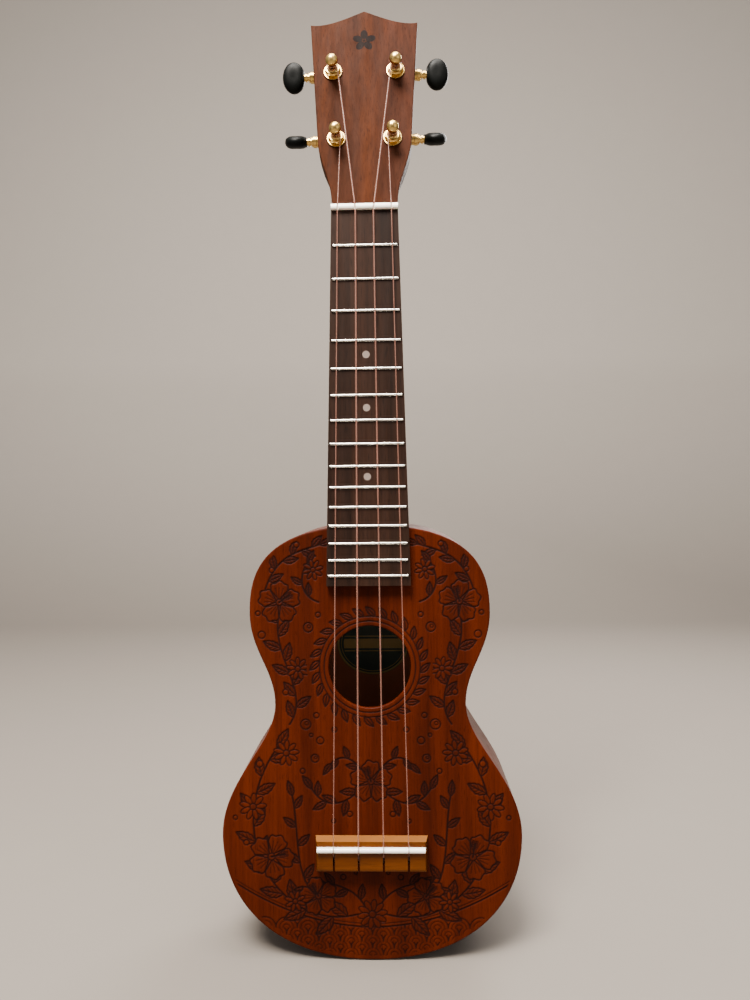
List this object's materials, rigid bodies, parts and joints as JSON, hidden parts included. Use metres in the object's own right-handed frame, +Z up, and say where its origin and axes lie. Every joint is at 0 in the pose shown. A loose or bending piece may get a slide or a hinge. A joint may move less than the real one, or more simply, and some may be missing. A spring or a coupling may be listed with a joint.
{
  "type": "ukulele",
  "caption": "Small four-string ukulele with a waisted hollow wooden body, engraved soundboard, fretted neck, tilted headstock and geared tuners.",
  "frame": {"origin": "on the outer face of the back, on the centre line, directly behind the saddle's crown", "axes": "+Z up the neck towards the headstock; -Y out of the soundboard towards the player's audience; +X to the right of someone facing the soundboard"},
  "size_m": [0.1666, 0.0712, 0.5384],
  "materials": {
    "engraved_mahogany": "satin open-pore mahogany with engraved lines",
    "mahogany": "satin open-pore mahogany",
    "neck_mahogany": "satin mahogany, paler than the body",
    "lining_wood": "bare cedar",
    "block_wood": "bare mahogany",
    "brace_wood": "bare spruce",
    "label_paper": "printed paper",
    "rosewood": "oiled rosewood",
    "fret_metal": "polished nickel silver",
    "pearl": "pearl",
    "nut_white": "ivory white",
    "bridge_wood": "orange-brown oiled wood",
    "saddle_white": "white",
    "nylon": "translucent nylon",
    "gold": "polished gold plate",
    "gear_brass": "machined",
    "black_button": "gloss black"
  },
  "bodies": {
    "instrument": {"soundboard": "engraved_mahogany", "back_plate": "mahogany", "side_left": "mahogany", "side_right": "mahogany", "lining_front": "lining_wood", "lining_back": "lining_wood", "neck_block": "block_wood", "tail_block": "block_wood", "top_brace_upper": "brace_wood", "top_brace_lower": "brace_wood", "bridge_patch": "brace_wood", "back_brace_upper": "brace_wood", "back_brace_middle": "brace_wood", "back_brace_lower": "brace_wood", "label": "label_paper", "neck": "neck_mahogany", "heel_cap": "rosewood", "fretboard": "rosewood", "frets": "fret_metal", "position_dots": "pearl", "nut": "nut_white", "bridge": "bridge_wood", "saddle": "saddle_white", "string_g": "nylon", "string_c": "nylon", "string_e": "nylon", "string_a": "nylon", "tuner_housing_g": "gold", "tuner_housing_c": "gold", "tuner_housing_e": "gold", "tuner_housing_a": "gold", "tuner_covers": "gold", "post_bushings": "gold", "post_washers": "gold", "mounting_screws": "gold", "shaft_bushings": "gold"},
    "button_shaft_g": {"worm_shaft_g": "gold", "button_g": "black_button", "button_screw_g": "gold"},
    "string_post_g": {"post_g": "gold", "worm_wheel_g": "gear_brass", "winding_g": "nylon"},
    "button_shaft_c": {"worm_shaft_c": "gold", "button_c": "black_button", "button_screw_c": "gold"},
    "string_post_c": {"post_c": "gold", "worm_wheel_c": "gear_brass", "winding_c": "nylon"},
    "button_shaft_e": {"worm_shaft_e": "gold", "button_e": "black_button", "button_screw_e": "gold"},
    "string_post_e": {"post_e": "gold", "worm_wheel_e": "gear_brass", "winding_e": "nylon"},
    "button_shaft_a": {"worm_shaft_a": "gold", "button_a": "black_button", "button_screw_a": "gold"},
    "string_post_a": {"post_a": "gold", "worm_wheel_a": "gear_brass", "winding_a": "nylon"}
  },
  "joints": [
    {"name": "tuner_g_turn", "type": "hinge", "parent": "instrument", "child": "button_shaft_g", "pos_m": [-0.0158, -0.03579, 0.39967], "axis": [-1, 0, 0], "continuous": true},
    {"name": "post_g_turn", "type": "hinge", "parent": "instrument", "child": "string_post_g", "pos_m": [-0.0158, -0.05278, 0.39317], "axis": [0, -0.9848, 0.1736], "continuous": true},
    {"name": "tuner_c_turn", "type": "hinge", "parent": "instrument", "child": "button_shaft_c", "pos_m": [-0.0178, -0.0285, 0.44103], "axis": [-1, 0, 0], "continuous": true},
    {"name": "post_c_turn", "type": "hinge", "parent": "instrument", "child": "string_post_c", "pos_m": [-0.0178, -0.04548, 0.43453], "axis": [0, -0.9848, 0.1736], "continuous": true},
    {"name": "tuner_e_turn", "type": "hinge", "parent": "instrument", "child": "button_shaft_e", "pos_m": [0.0178, -0.0285, 0.44103], "axis": [1, 0, 0], "continuous": true},
    {"name": "post_e_turn", "type": "hinge", "parent": "instrument", "child": "string_post_e", "pos_m": [0.0178, -0.04548, 0.43453], "axis": [0, -0.9848, 0.1736], "continuous": true},
    {"name": "tuner_a_turn", "type": "hinge", "parent": "instrument", "child": "button_shaft_a", "pos_m": [0.0158, -0.03579, 0.39967], "axis": [1, 0, 0], "continuous": true},
    {"name": "post_a_turn", "type": "hinge", "parent": "instrument", "child": "string_post_a", "pos_m": [0.0158, -0.05278, 0.39317], "axis": [0, -0.9848, 0.1736], "continuous": true}
  ],
  "couplings": [
    {"joint": "post_g_turn", "follows": "tuner_g_turn", "ratio": 0.055556},
    {"joint": "post_c_turn", "follows": "tuner_c_turn", "ratio": 0.055556},
    {"joint": "post_e_turn", "follows": "tuner_e_turn", "ratio": 0.055556},
    {"joint": "post_a_turn", "follows": "tuner_a_turn", "ratio": 0.055556}
  ]
}
